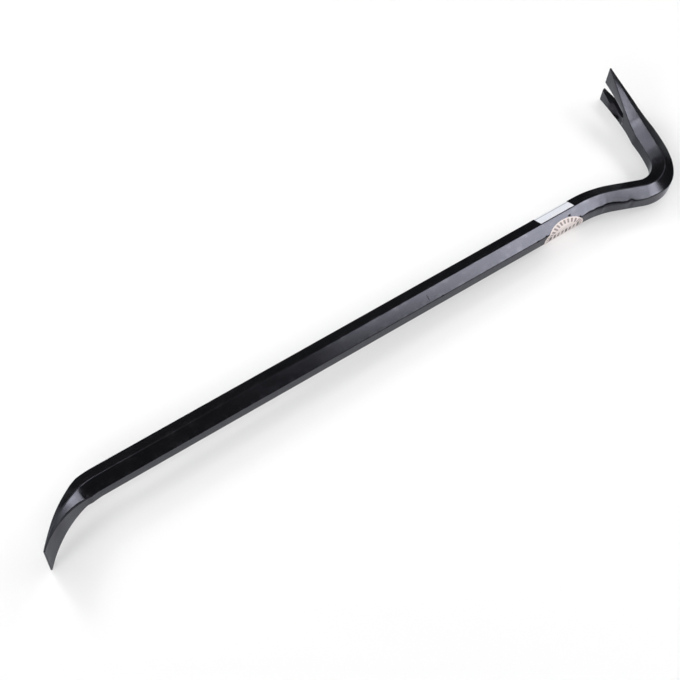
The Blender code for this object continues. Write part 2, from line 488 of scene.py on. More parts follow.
@dataclass(frozen=True)
class NailSlot:
    """The slot between the claw's tines, dished on the inner side.

    Five outlines run one inside the other from the outer side to the inner. Each goes up one side of the
    slot and down the other in distances back from the claw's edge and heights above the bar's middle, both
    in millimetres. Depths are shares of the claw's half thickness: one for the whole outlet and the whole
    mouth, and one for each point of the rest.
    """

    outlet_share: float = -1.4
    outlet: Marks = (
        (-4.0, -6.2), (6.2, -5.4), (12.2, -4.7), (17.2, -4.3), (24.0, -4.2), (29.0, -3.9), (32.2, -2.8),
        (34.2, -1.4), (35.2, -0.3), (35.2, 0.5), (34.0, 0.9), (31.7, 1.1), (27.2, 1.4), (21.2, 1.7),
        (15.2, 1.9), (12.2, 2.0), (6.8, 2.1), (-4.0, 2.4),
    )
    throat: Marks = (
        (-4.0, -6.5, -0.20), (6.2, -5.95, -0.30), (12.2, -5.9, 0.08), (17.2, -6.0, 0.20), (24.0, -6.6, 0.32),
        (29.0, -7.1, 0.38), (32.2, -6.4, 0.42), (35.0, -4.6, 0.46), (36.8, -1.8, 0.50), (36.8, 0.6, 0.40),
        (35.0, 1.2, 0.35), (31.7, 1.4, 0.30), (27.2, 1.6, 0.30), (21.2, 1.8, 0.30), (15.2, 2.0, 0.30),
        (12.2, 2.1, 0.30), (6.8, 2.2, 0.30), (-4.0, 2.4, 0.30),
    )
    dish: Marks = (
        (-4.0, -8.3, 0.95), (6.2, -8.5, 0.93), (12.2, -8.7, 0.92), (17.2, -8.9, 0.84), (24.0, -9.2, 0.45),
        (29.0, -8.8, 0.41), (32.8, -7.8, 0.49), (35.4, -6.0, 0.55), (37.5, -3.2, 0.65), (37.4, 0.8, 0.60),
        (35.1, 1.8, 0.60), (31.7, 2.0, 0.60), (27.2, 2.2, 0.60), (21.2, 2.4, 0.60), (15.2, 2.5, 0.60),
        (12.2, 2.5, 0.60), (6.8, 2.4, 0.60), (-4.0, 2.42, 0.60),
    )
    shaded_fold: Marks = (
        (-4.0, -12.9, 0.98), (6.2, -12.6, 0.97), (12.2, -12.4, 0.95), (17.2, -12.0, 0.86),
        (24.0, -10.6, 0.47), (29.0, -10.2, 0.42), (32.8, -9.2, 0.51), (36.0, -7.0, 0.58), (38.4, -3.8, 0.68),
        (38.4, 0.9, 0.78), (35.4, 2.4, 0.86), (31.7, 2.8, 0.86), (27.2, 3.1, 0.86), (21.2, 3.2, 0.86),
        (15.2, 3.0, 0.86), (12.2, 2.9, 0.86), (6.8, 2.6, 0.86), (-4.0, 2.45, 0.86),
    )
    mouth_share: float = 1.0
    mouth: Marks = (
        (-4.0, -13.2), (6.2, -13.0), (12.2, -13.0), (17.2, -13.1), (24.0, -13.5), (29.0, -13.7),
        (34.2, -12.2), (38.0, -9.2), (40.6, -5.2), (40.2, 0.0), (36.2, 4.6), (31.7, 6.0), (27.2, 6.4),
        (21.2, 5.9), (15.2, 4.4), (12.2, 4.2), (6.8, 3.3), (-4.0, 2.5),
    )
    overrun: float = mm(12.0)
    start_radius: float = mm(1.0)

    def rings(self, claw: ForgedEnd, across_flats: float) -> list[list[Point]]:
        """The cutter's rings, the outer side's first.

        Args:
            claw: The claw, whose thickness the slot's depths follow.
            across_flats: The plain stock's thickness.

        Returns:
            Six rings of equal count, with each point's distance back, height and depth in metres.
        """
        outlet = [(back, height, self.outlet_share) for back, height in self.outlet]
        mouth = [(back, height, self.mouth_share) for back, height in self.mouth]
        found = []
        for outline in (outlet, self.throat, self.dish, self.shaded_fold, mouth):
            ring = []
            for back, height, share in outline:
                half = claw.section(max(mm(back), 0.0), across_flats).thickness / 2.0
                ring.append((mm(back), mm(height), half * share))
            found.append(ring)
        found.append([(back, height, self.overrun) for back, height, _ in found[-1]])
        return found


@dataclass(frozen=True)
class CrushedRidge:
    """The front ridge, which the forging blunted in the chisel's bend and crushed in the neck.

    Each mark is a distance back from the claw's edge, how far the ridge is pushed up its flat, and how
    crushed it is from 0 to 1; lengths are in millimetres.
    """

    marks: Marks = (
        (690.0, 0.0, 0.0), (684.0, 0.0, 0.3), (662.0, 0.0, 0.55), (650.0, 0.0, 0.5), (644.0, 0.0, 0.0),
        (190.0, 0.0, 0.0), (184.0, 0.4, 0.4), (179.5, 0.1, 0.6), (173.5, 0.3, 0.6), (169.5, -0.3, 0.8),
        (166.5, 0.7, 1.0), (162.5, 0.5, 0.8), (158.0, 0.3, 1.0), (153.0, -0.3, 0.7), (150.0, -0.6, 0.7),
        (147.0, -0.6, 0.5), (143.0, 0.8, 1.0), (140.8, -0.6, 0.4), (137.5, -0.6, 0.2), (132.0, -0.6, 0.1),
        (127.0, 0.5, 0.1), (121.0, 0.7, 0.1), (114.0, 0.0, 0.0),
    )


@dataclass
class ForgedBar:
    """The hexagonal bar with its chisel, neck, hook and slotted claw.

    The thinning gives distances back from the claw's edge and how much thinner the outer side is there, in
    millimetres. Angles are in degrees.
    """

    across_flats: float = mm(19.0)
    ridge_ease: float = mm(0.5)
    crushed_ease: float = mm(2.0)
    edge_ease: float = mm(0.3)
    ease_share: float = 0.3
    ease_steps: int = 3
    flat_turn: float = 8.0
    smooth_turn: float = 32.0
    flat_weight: int = 80
    thinning: Marks = (
        (114.0, 0.0), (108.0, 0.1), (104.0, 0.35), (98.0, 1.1), (90.0, 1.0), (82.0, 0.2), (71.0, 0.3),
        (63.0, 0.9), (54.0, 1.25), (47.0, 1.2), (39.0, 0.9), (32.0, 0.15), (24.0, 0.0), (0.0, 0.0),
    )
    line: Centreline = Centreline()
    chisel: ForgedEnd = ForgedEnd(
        edge_thickness=1.4, wedge_length=57.7, wedge_power=1.55, edge_width=38.1, flare_length=57.0,
        flare_power=1.16, face_length=50.8, face_power=2.3, corner_drop=1.2,
    )
    claw: ForgedEnd = ForgedEnd(
        edge_thickness=1.7, wedge_length=60.9, wedge_power=1.13, edge_width=41.5, flare_length=79.6,
        flare_power=1.47, face_length=48.3, face_power=1.27,
    )
    slot: NailSlot = NailSlot()
    crushed: CrushedRidge = CrushedRidge()
    rest: Rest = Rest()
    stations: list[Station] = field(init=False)
    sections: list[Section] = field(init=False)
    bench: Bench = field(init=False)

    def build(self) -> bpy.types.Object:
        """Models the bar and lays it on the floor.

        Returns:
            The finished piece.
        """
        self.stations = self.line.stations()
        self.sections = [self._section(at) for at in self.stations]
        self._start_ring()
        self._draw_out()
        self._hammer_claw()
        crushed = self._crush()
        self._bend()
        self._ease_ridges(crushed)
        self.bench.apply("SUBSURF", subdivision_type="SIMPLE", levels=1, render_levels=1)
        self._cut_slot()
        self._mark_ridges()
        self.bench.smooth(self.smooth_turn)
        self.bench.apply("WEIGHTED_NORMAL", mode="FACE_AREA", weight=self.flat_weight, keep_sharp=True)
        self.bench.piece.data.transform(self.rest.matrix())
        return self.bench.piece

    def _from_claw(self, at: Station) -> float:
        """How far back from the claw's edge a station is."""
        return self.stations[-1].distance - at.distance

    def _section(self, at: Station) -> Section:
        """The section at a station, which the nearer end gives.

        Args:
            at: The station.

        Returns:
            The section.
        """
        if at.distance < self._from_claw(at):
            return self.chisel.section(at.distance, self.across_flats)
        return self.claw.section(self._from_claw(at), self.across_flats)

    def _start_ring(self) -> None:
        """Starts the bar as a six-sided face that looks along -X, its ridges up and down."""
        Bench.clear_selection()
        upright = (math.pi / 2.0, 0.0, math.pi / 2.0)
        bpy.ops.mesh.primitive_circle_add(vertices=CORNERS, radius=1.0, fill_type="NGON", rotation=upright)
        self.bench = Bench("bar")
        self.bench.edit()
        bpy.ops.mesh.select_all(action="SELECT")
        regular = Section(math.sqrt(3.0), 2.0, 1.0)
        self._reshape(regular, self.sections[0], 0.0)

    def _reshape(self, old: Section, new: Section, distance: float) -> None:
        """Resizes the selected ring.

        Args:
            old: The ring's section now.
            new: The section it gets.
            distance: Where the ring stands along X.
        """
        middle = (distance, 0.0, 0.0)
        wide = new.width / old.width
        bpy.ops.transform.resize(value=(1.0, new.thickness / old.thickness, wide), center_override=middle)
        ring = [vertex for vertex in bmesh.from_edit_mesh(self.bench.piece.data).verts if vertex.select]
        ridges = [vertex for vertex in ring if abs(vertex.co.y) < NEAR]
        for vertex in ridges:
            vertex.select = False
        bpy.ops.transform.resize(value=(1.0, 1.0, new.face / (old.face * wide)), center_override=middle)
        for vertex in ridges:
            vertex.select = True

    def _draw_out(self) -> None:
        """Extrudes the ring from station to station, straight along X."""
        for index in range(1, len(self.stations)):
            before, at = self.stations[index - 1 : index + 1]
            self.bench.pick(lambda vertex, first=CORNERS * (index - 1): vertex.index >= first)
            step = (at.distance - before.distance, 0.0, 0.0)
            bpy.ops.mesh.extrude_region_move(TRANSFORM_OT_translate={"value": step})
            bmesh.from_edit_mesh(self.bench.piece.data).verts.index_update()
            if self.sections[index] != self.sections[index - 1]:
                self._reshape(self.sections[index - 1], self.sections[index], at.distance)

    def _hammer_claw(self) -> None:
        """Thins the claw on its outer side, with a wider outer flat, so that the sides keep their slope."""
        slope = math.tan(HALF_SIDE)
        for ring, (at, section) in enumerate(zip(self.stations, self.sections)):
            if self._from_claw(at) <= mm(self.thinning[0][0]):
                thinner = mm(read_marks(self.thinning, self._from_claw(at))[0])
                face = section.width - 2.0 * slope * (section.thickness / 2.0 - thinner)
                wider = (1.0, 1.0, face / section.face)
                self.bench.pick(
                    lambda vertex, ring=ring: vertex.index // CORNERS == ring and vertex.co.y < -NEAR
                )
                bpy.ops.transform.resize(value=wider, center_override=(at.distance, 0.0, 0.0))
                bpy.ops.transform.translate(value=(0.0, thinner, 0.0))

    def _crush(self) -> dict[int, float]:
        """Pushes the ridge that was hammered in the neck out of line, while the bar is straight.

        Returns:
            How crushed the ridge is at each of its vertices, from 0 to 1.
        """
        found = {}
        up_the_flat = Vector((0.0, math.cos(HALF_SIDE), math.sin(HALF_SIDE)))
        mesh = bmesh.from_edit_mesh(self.bench.piece.data)
        mesh.verts.ensure_lookup_table()
        for ring, at in enumerate(self.stations):
            push, share = read_marks(self.crushed.marks, self._from_claw(at))
            if share > 0.0:
                members = mesh.verts[CORNERS * ring : CORNERS * (ring + 1)]
                ridge = min(members, key=lambda vertex: vertex.co.y - vertex.co.z).index
                self.bench.pick(lambda vertex, ridge=ridge: vertex.index == ridge)
                bpy.ops.transform.translate(value=up_the_flat * mm(push))
                found[ridge] = share
        return found

    def _bend(self) -> None:
        """Turns each ring to its heading and moves it on to the centreline."""
        for ring, at in enumerate(self.stations):
            self.bench.pick(lambda vertex, ring=ring: vertex.index // CORNERS == ring)
            straight = Vector((at.distance, 0.0, 0.0))
            if at.heading != 0.0:
                bpy.ops.transform.rotate(value=-at.heading, orient_axis="Z", center_override=straight)
            bpy.ops.transform.translate(value=at.centre - straight)
        self.bench.face_out()
        self.bench.close()

    def _ease_ridges(self, crushed: dict[int, float]) -> None:
        """Rounds the six ridges, less where a forged side is narrow, and takes the sharpness off both edges.

        Args:
            crushed: How crushed a ridge is at a vertex, from 0 to 1, where it is.
        """
        mesh = self.bench.piece.data
        last_ring = len(self.stations) - 1
        eases = mesh.attributes.new("bevel_weight_edge", "FLOAT", "EDGE")
        ends = [sorted(edge.vertices) for edge in mesh.edges]
        sides: dict[int, float] = {}
        for first, second in ends:
            if first // CORNERS == second // CORNERS:
                side = (mesh.vertices[first].co - mesh.vertices[second].co).length
                for end in (first, second):
                    sides[end] = min(sides.get(end, math.inf), side)
        for index, (first, second) in enumerate(ends):
            room = self.ease_share * min(sides[first], sides[second])
            if first // CORNERS != second // CORNERS:
                share = (crushed.get(first, 0.0) + crushed.get(second, 0.0)) / 2.0
                wanted = self.ridge_ease + (self.crushed_ease - self.ridge_ease) * share
                eases.data[index].value = min(room, wanted) / self.crushed_ease
            elif first // CORNERS in (0, last_ring):
                eases.data[index].value = min(room, self.edge_ease) / self.crushed_ease
        self.bench.apply(
            "BEVEL",
            width=self.crushed_ease,
            segments=self.ease_steps,
            limit_method="WEIGHT",
            use_clamp_overlap=False,
            loop_slide=False,
        )

    def _mark_ridges(self) -> None:
        """Gives each vertex a number for the paint, 1 on a rounded ridge and 0 on a flat."""
        mesh = self.bench.piece.data
        shape = bmesh.new()
        shape.from_mesh(mesh)
        turns = [max(edge.calc_face_angle(0.0) for edge in vertex.link_edges) for vertex in shape.verts]
        shape.free()
        ridge = mesh.attributes.new(RIDGE, "FLOAT", "POINT")
        for index, turn in enumerate(turns):
            ridge.data[index].value = min(max(math.degrees(turn) / self.flat_turn - 1.0, 0.0), 1.0)

    def _cut_slot(self) -> None:
        """Cuts the nail slot and its shallow countersink out of the claw."""
        edge = self.stations[-1]
        back = Vector((-math.cos(edge.heading), -math.sin(edge.heading), 0.0))
        inward = Vector((-math.sin(edge.heading), math.cos(edge.heading), 0.0))
        rings = self.slot.rings(self.claw, self.across_flats)
        count, last = len(rings[0]), len(rings) - 1
        start = {"vertices": count, "radius": self.slot.start_radius, "fill_type": "NOTHING"}
        Bench.clear_selection()
        bpy.ops.mesh.primitive_circle_add(**start)
        cutter = Bench("slot_cutter")
        cutter.edit()
        for _ in range(last):
            bpy.ops.mesh.primitive_circle_add(**start)
        mesh = bmesh.from_edit_mesh(cutter.piece.data)
        for vertex, (along, height, depth) in zip(mesh.verts, (point for ring in rings for point in ring)):
            vertex.co = edge.centre + back * along + inward * depth + Vector((0.0, 0.0, height))
        for ring in range(last):
            cutter.pick(lambda vertex, ring=ring: vertex.index // count in (ring, ring + 1))
            bpy.ops.mesh.bridge_edge_loops()
        for ring in (0, last):
            cutter.pick(lambda vertex, ring=ring: vertex.index // count == ring)
            bpy.ops.mesh.edge_face_add()
        cutter.face_out()
        cutter.close()
        self.bench.apply("BOOLEAN", operation="DIFFERENCE", solver="EXACT", object=cutter.piece)
        bpy.data.objects.remove(cutter.piece)


# The labels


@dataclass(frozen=True)
class Girth:
    """The way round the shank, as a label lies on it: distances run from the top ridge over the front."""

    across_flats: float = mm(19.0)
    gap: float = mm(0.06)
    ease: float = mm(0.9)
    ease_steps: int = 4

    def ring(self) -> list[Vector]:
        """The outline from the top ridge round to the top ridge.

        Returns:
            Its points in (depth, height).
        """
        radius = (self.across_flats / 2.0 + self.gap) / math.cos(HALF_SIDE)
        angles = [math.tau * side / CORNERS for side in range(CORNERS)]
        corners = [Vector((-math.sin(angle), math.cos(angle))) * radius for angle in angles]
        outline = []
        for side, corner in enumerate(corners):
            before, after = corners[side - 1], corners[(side + 1) % CORNERS]
            start = corner + (before - corner).normalized() * self.ease
            end = corner + (after - corner).normalized() * self.ease
            for step in range(self.ease_steps + 1):
                t = step / self.ease_steps
                outline.append(start * (1.0 - t) ** 2 + corner * 2.0 * t * (1.0 - t) + end * t**2)
        top = self.ease_steps // 2
        return outline[top:] + outline[: top + 1]

    def marks(self) -> list[float]:
        """The distance of each point of the ring.

        Returns:
            The distances, the first 0 and the last the whole way round.
        """
        ring = self.ring()
        marks = [0.0]
        for near, far in zip(ring, ring[1:]):
            marks.append(marks[-1] + (far - near).length)
        return marks

    def place(self, distance: float) -> Vector:
        """The point of the ring at a distance.

        Args:
            distance: The distance, below 0 for the way over the back.

        Returns:
            The point in (depth, height).
        """
        ring, marks = self.ring(), self.marks()
        distance %= marks[-1]
        for low, high, near, far in zip(marks, marks[1:], ring, ring[1:]):
            if distance <= high:
                return near.lerp(far, (distance - low) / (high - low))
        return ring[-1]


@dataclass
class Label:
    """A paper label that starts flat, is cut into strips, and is laid round the bar strip by strip."""

    name: str
    middle: float
    drop: float
    thickness: float = mm(0.18)
    strips: int = 16
    margin: float = mm(0.05)
    grid: float = mm(0.001)
    smooth_turn: float = 40.0
    girth: Girth = Girth()
    rest: Rest = Rest()
    bench: Bench = field(init=False)

    def _blank(self) -> Bench:
        """The flat label, its length along X and its way round the bar along Y, centred on the origin."""
        raise NotImplementedError

    def _reach(self) -> tuple[float, float]:
        """The half length along the bar and the half length round it."""
        raise NotImplementedError

    def build(self) -> bpy.types.Object:
        """Models the label and lays it on the bar.

        Returns:
            The finished piece.
        """
        self.bench = self._blank()
        self._mark_sheet()
        self._score()
        self._wrap()
        self.bench.apply("SOLIDIFY", thickness=self.thickness, offset=1.0, use_even_offset=True)
        self.bench.smooth(self.smooth_turn)
        self.bench.piece.data.transform(self.rest.matrix())
        return self.bench.piece

    def _mark_sheet(self) -> None:
        """Gives the flat sheet a UV map that runs from 0 to 1 over its length and its way round."""
        along, around_bar = self._reach()
        mesh = self.bench.piece.data
        sheet = mesh.uv_layers.new(name=SHEET) if not mesh.uv_layers else mesh.uv_layers[0]
        sheet.name = SHEET
        for loop in mesh.loops:
            point = mesh.vertices[loop.vertex_index].co
            sheet.data[loop.index].uv = (0.5 + 0.5 * point.x / along, 0.5 + 0.5 * point.y / around_bar)

    def _score(self) -> None:
        """Cuts the flat sheet along every line that it will be bent on."""
        _, around_bar = self._reach()
        marks = self.girth.marks()
        folds = [mark - turn * marks[-1] - self.drop for mark in marks for turn in (0, 1)]
        even = [around_bar * step / self.strips for step in range(1 - self.strips, self.strips)]
        self.bench.edit()
        for fold in folds + even:
            if abs(fold) < around_bar - self.margin:
                bpy.ops.mesh.select_all(action="SELECT")
                bpy.ops.mesh.bisect(plane_co=(0.0, fold, 0.0), plane_no=(0.0, 1.0, 0.0))
        self.bench.close()

    def _wrap(self) -> None:
        """Moves each line of the sheet to its place round the bar."""
        self.bench.edit()
        rows: dict[int, set[int]] = {}
        mesh = self.bench.piece.data
        for vertex in bmesh.from_edit_mesh(mesh).verts:
            rows.setdefault(round(vertex.co.y / self.grid), set()).add(vertex.index)
        for row, members in sorted(rows.items()):
            flat = row * self.grid
            depth, height = self.girth.place(self.drop + flat)
            self.bench.pick(lambda vertex, members=members: vertex.index in members)
            bpy.ops.transform.translate(value=(self.middle, depth - flat, height))
        self.bench.face_out()
        self.bench.close()
        face = mesh.polygons[len(mesh.polygons) // 2]
        if face.normal.y * face.center.y + face.normal.z * face.center.z < 0.0:
            mesh.flip_normals()


@dataclass
class BarLabel(Label):
    """The white rectangular label, which starts at the top ridge and is folded on to the back flat."""

    name: str = "bar_paper"
    middle: float = mm(418.0)
    drop: float = mm(-10.25)
    length: float = mm(33.5)
    wrap: float = mm(19.5)

    def _reach(self) -> tuple[float, float]:
        """Half the label's length, and half its way round."""
        return self.length / 2.0, self.wrap / 2.0

    def _blank(self) -> Bench:
        """Cuts the label out as a flat rectangle.

        Returns:
            The label.
        """
        Bench.clear_selection()
        bpy.ops.mesh.primitive_plane_add(size=1.0)
        bpy.context.object.scale = (self.length, self.wrap, 1.0)
        return Bench(self.name)


@dataclass
class RoundLabel(Label):
    """The round label on the front of the bar, which runs on under it."""

    name: str = "round_paper"
    middle: float = mm(419.4)
    drop: float = mm(19.0)
    half_length: float = mm(19.5)
    half_wrap: float = mm(14.0)
    sides: int = 96

    def _reach(self) -> tuple[float, float]:
        """Half the oval's length, and half its way round."""
        return self.half_length, self.half_wrap

    def _blank(self) -> Bench:
        """Cuts the label out as a flat oval.

        Returns:
            The label.
        """
        Bench.clear_selection()
        bpy.ops.mesh.primitive_circle_add(vertices=self.sides, radius=1.0, fill_type="NGON")
        bpy.context.object.scale = (self.half_length, self.half_wrap, 1.0)
        return Bench(self.name)


# Finishes


@dataclass(frozen=True)
class Nick:
    """A small dent in the paint: an ellipsoid by its centre and its half lengths, in millimetres."""

    centre: Point
    reach: Point


@dataclass(frozen=True)
class BlackPaint:
    """Semi-gloss black paint over forged steel, thin and worn on the ridges, with a few nicks.

    A range gives where something starts and where it is full: in millimetres on the floor's axes for the
    fire scale and the painted reflection on the neck's front flat, in squares of half lengths for a nick's
    edge, and in a mottle's value for the rest. The painted reflection's shares are its least and its most.
    """

    colour: Colour = (0.0226, 0.0230, 0.0280)
    patch_gain: float = 1.06
    # The worn ridges and the painted reflection on the neck's front flat both take this lighter colour.
    rub_and_reflection: Colour = (0.075, 0.075, 0.085)
    tint: Colour = (0.94, 0.955, 1.0)
    metal: float = 0.8
    level: float = 0.27
    gloss: float = 0.16
    dull: float = 0.215
    patches: Mottle = Mottle(60.0, 4.0, 0.55)
    patch_tones: Range = (0.35, 0.75)
    patch_gloss: Range = (0.3, 0.8)
    grain: Mottle = Mottle(900.0, 3.0, 0.6)
    grain_rough: float = 0.06
    grain_relief: float = 0.15
    hammer: Mottle = Mottle(85.0, 2.0, 0.5)
    hammer_relief: float = 0.85
    relief: float = mm(0.05)
    relief_strength: float = 0.35
    rubbing: Mottle = Mottle(140.0, 5.0, 0.65)
    rubbing_bare: Range = (0.48, 0.66)
    rub_share: float = 0.7
    rub_rough: float = 0.08
    fire_scale: Range = (-268.0, -284.0)
    scale_rough: float = 0.22
    # Painted reflection: the neck's front flat is made lighter between these places, in a mottled share.
    reflection_from: Range = (186.0, 206.0)
    reflection_to: Range = (276.0, 264.0)
    reflection_below: Range = (17.0, 13.5)
    reflection_mottle: Mottle = Mottle(160.0, 4.0, 0.6)
    reflection_shares: Range = (0.55, 1.05)
    nick_rough: float = 0.7
    nick_relief: float = 4.0
    nick_edge: Range = (1.3, 0.7)
    ragged: Mottle = Mottle(1200.0, 2.0, 0.6)
    ragged_share: float = 0.8
    nicks: tuple[Nick, ...] = (
        Nick((43.3, -34.0, 23.0), (0.24, 3.2, 2.8)),
        Nick((54.8, -37.4, 20.0), (2.2, 0.8, 1.0)),
        Nick((149.1, -37.4, 18.4), (2.4, 0.8, 1.0)),
        Nick((157.4, -37.2, 18.7), (1.2, 0.8, 0.9)),
        Nick((183.9, -32.7, 21.7), (1.6, 0.9, 0.9)),
        Nick((192.3, -36.8, 18.5), (1.4, 0.8, 0.9)),
    )

    def material(self) -> bpy.types.Material:
        """The finish as a material.

        Returns:
            The material.
        """
        tree = ShaderTree("black_paint")
        patches, grain, hammer = (tree.noise(mottle) for mottle in (self.patches, self.grain, self.hammer))
        rub = tree.attribute(RIDGE) * tree.noise(self.rubbing).ramp(*self.rubbing_bare)
        nick = self._nicked(tree)
        lighter = tuple(self.patch_gain * channel for channel in self.colour)
        tone = tree.blend(patches.ramp(*self.patch_tones), self.colour, lighter)
        # Lighter on the worn ridges, and on the neck's front flat as painted reflection.
        tone = tree.blend((rub * self.rub_share).at_least(self._painted_reflection(tree)), tone, self.rub_and_reflection)
        rough = patches.ramp(*self.patch_gloss).between(self.gloss, self.dull)
        rough = rough + (grain - 0.5) * self.grain_rough + nick * self.nick_rough + rub * self.rub_rough
        rough = rough + self._reached(tree, "X", self.fire_scale) * self.scale_rough
        height = grain * self.grain_relief + hammer * self.hammer_relief - nick * self.nick_relief
        return tree.finish({
            "Base Color": tone,
            "Roughness": rough,
            "Normal": tree.bump(height, self.relief, self.relief_strength),
            "Metallic": self.metal,
            "Specular IOR Level": self.level,
            "Specular Tint": (*self.tint, 1.0),
        })

    @staticmethod
    def _reached(tree: ShaderTree, axis: str, span: Range) -> Value:
        """0 to 1 over a range of an axis in millimetres."""
        return tree.part(tree.position(), axis).ramp(mm(span[0]), mm(span[1]))

    def _painted_reflection(self, tree: ShaderTree) -> Value:
        """Where a painted reflection makes the neck's front flat lighter.

        Args:
            tree: The material's nodes.

        Returns:
            A share that is 0 away from there.
        """
        here = self._reached(tree, "X", self.reflection_from) * self._reached(tree, "X", self.reflection_to)
        here = here * self._reached(tree, "Z", self.reflection_below)
        return here * tree.noise(self.reflection_mottle).between(*self.reflection_shares)

    def _nicked(self, tree: ShaderTree) -> Value:
        """Where the nicks are.

        Args:
            tree: The material's nodes.

        Returns:
            1 inside a nick and 0 away from them all.
        """
        place = [tree.part(tree.position(), axis) for axis in "XYZ"]
        ragged = tree.noise(self.ragged) * self.ragged_share
        found: Value | None = None
        for nick in self.nicks:
            away = ragged
            for axis, middle, reach in zip(place, nick.centre, nick.reach):
                offset = (axis - mm(middle)) / mm(reach)
                away = away + offset * offset
            inside = away.ramp(*self.nick_edge)
            found = inside if found is None else found.at_least(inside)
        return found


FIBRE = Mottle(1500.0, 3.0, 0.6)
FIBRE_ROUGH = 0.1
FIBRE_RELIEF = mm(0.01)
FIBRE_STRENGTH = 0.3


def paper(tree: ShaderTree, tone: Value, gloss: float) -> bpy.types.Material:
    """Ends a label's material in smooth paper.

    Args:
        tree: The material's nodes.
        tone: Its colour.
        gloss: Its least roughness.

    Returns:
        The material.
    """
    fibre = tree.noise(FIBRE)
    return tree.finish({
        "Base Color": tone,
        "Roughness": gloss + fibre * FIBRE_ROUGH,
        "Normal": tree.bump(fibre, FIBRE_RELIEF, FIBRE_STRENGTH),
    })


@dataclass(frozen=True)
class WhitePaper:
    """Smooth white label paper with faint ruled lines and a line of painted shade near its fold, past which
    it is lighter.

    The shaded fold's place and width are shares of the label's way round the bar, and a ruled line's width
    is a share of the step between two ruled lines.
    """

    colour: Colour = (0.68, 0.695, 0.745)
    edge: Colour = (0.85, 0.86, 0.88)
    rule_and_shade: Colour = (0.38, 0.39, 0.43)
    rules: float = 9.0
    rule_width: Range = (0.10, 0.04)
    rule_share: float = 0.35
    # Where the line of painted shade near the fold lies, and how wide it is.
    shaded_fold: float = 0.575
    shaded_fold_width: Range = (0.045, 0.02)
    strip_fade: float = 0.04
    gloss: float = 0.42

    def material(self) -> bpy.types.Material:
        """The finish as a material.

        Returns:
            The material.
        """
        tree = ShaderTree("white_paper")
        across = tree.part(tree.sheet(), "Y")
        line = ((across * self.rules).fraction() - 0.5).absolute().ramp(*self.rule_width) * self.rule_share
        # A line of painted shade near the fold, in the ink colour of the ruled lines.
        shaded_fold = (across - self.shaded_fold).absolute().ramp(*self.shaded_fold_width)
        tone = tree.blend(across.ramp(self.shaded_fold, self.shaded_fold + self.strip_fade), self.edge, self.colour)
        return paper(tree, tree.blend(line.at_least(shaded_fold), tone, self.rule_and_shade), self.gloss)


@dataclass(frozen=True)
class CreamPaper:
    """Smooth cream label paper with a printed fan of rays over a row of dashes.

    Places are on the label's oval, whose half length and half height are 1 each. The rays' ends are squares
    of distances from its middle, and widths of marks are half shares of their step.
    """

    colour: Colour = (0.71, 0.63, 0.615)
    ray_ink: Colour = (0.12, 0.085, 0.085)
    rays: int = 29
    ray_width: float = 0.25
    ray_start: Range = (0.48, 0.53)
    ray_end: Range = (0.88, 0.85)
    smudge: Mottle = Mottle(700.0, 2.0, 0.5)
    smudge_shares: Range = (0.55, 1.05)
    dash_ink: Colour = (0.03, 0.03, 0.035)
    dashes: float = 5.0
    dash_width: float = 0.3
    row: float = 0.107
    row_height: Range = (0.20, 0.14)
    row_end: Range = (0.84, 0.80)
    print_run: Mottle = Mottle(160.0, 1.0, 0.5)
    print_range: Range = (0.35, 0.65)
    print_shares: Range = (0.6, 1.0)
    gloss: float = 0.45

    def material(self) -> bpy.types.Material:
        """The finish as a material.

        Returns:
            The material.
        """
        tree = ShaderTree("cream_paper")
        along = tree.part(tree.sheet(), "X") * 2.0 - 1.0
        up = 1.0 - tree.part(tree.sheet(), "Y") * 2.0
        angle = tree.node("ShaderNodeMath", {"operation": "ARCTAN2"}, {0: up, 1: along}) / math.tau
        spread = along * along + up * up
        fan = self._marks(angle + 0.5 / self.rays, self.rays, self.ray_width)
        fan = fan * spread.ramp(*self.ray_start) * spread.ramp(*self.ray_end)
        row = self._marks(along, self.dashes, self.dash_width)
        row = row * (up - self.row).absolute().ramp(*self.row_height) * along.absolute().ramp(*self.row_end)
        faint = tree.noise(self.smudge).between(*self.smudge_shares)
        strong = tree.noise(self.print_run).ramp(*self.print_range).between(*self.print_shares)
        tone = tree.blend(fan * faint, self.colour, self.ray_ink)
        return paper(tree, tree.blend(row * strong, tone, self.dash_ink), self.gloss)

    @staticmethod
    def _marks(way: Value, count: float, half_share: float, soft: float = 0.06) -> Value:
        """Even marks along a way, each this half share of its step wide and soft by so much."""
        return ((way * count).fraction() - 0.5).absolute().ramp(half_share + soft, half_share - soft)


@dataclass(frozen=True)
class FloorPaper:
    """Plain pale paper under the object."""

    colour: Colour = (0.80, 0.80, 0.80)

    def material(self) -> bpy.types.Material:
        """The finish as a material."""
        tree = ShaderTree("floor_paper")
        return tree.finish({"Base Color": (*self.colour, 1.0), "Roughness": 1.0, "Specular IOR Level": 0.0})


# The studio


def around(target: Point, azimuth: float, elevation: float, reach: float) -> Point:
    """A place seen from a target.

    Args:
        target: The target in metres.
        azimuth: The bearing in degrees from +X towards +Y.
        elevation: The height over the floor's plane in degrees.
        reach: How far off it is in metres.

    Returns:
        The place.
    """
    turn, rise = math.radians(azimuth), math.radians(elevation)
    aim = Vector((math.cos(rise) * math.cos(turn), math.cos(rise) * math.sin(turn), math.sin(rise)))
    return tuple(Vector(target) + aim * reach)


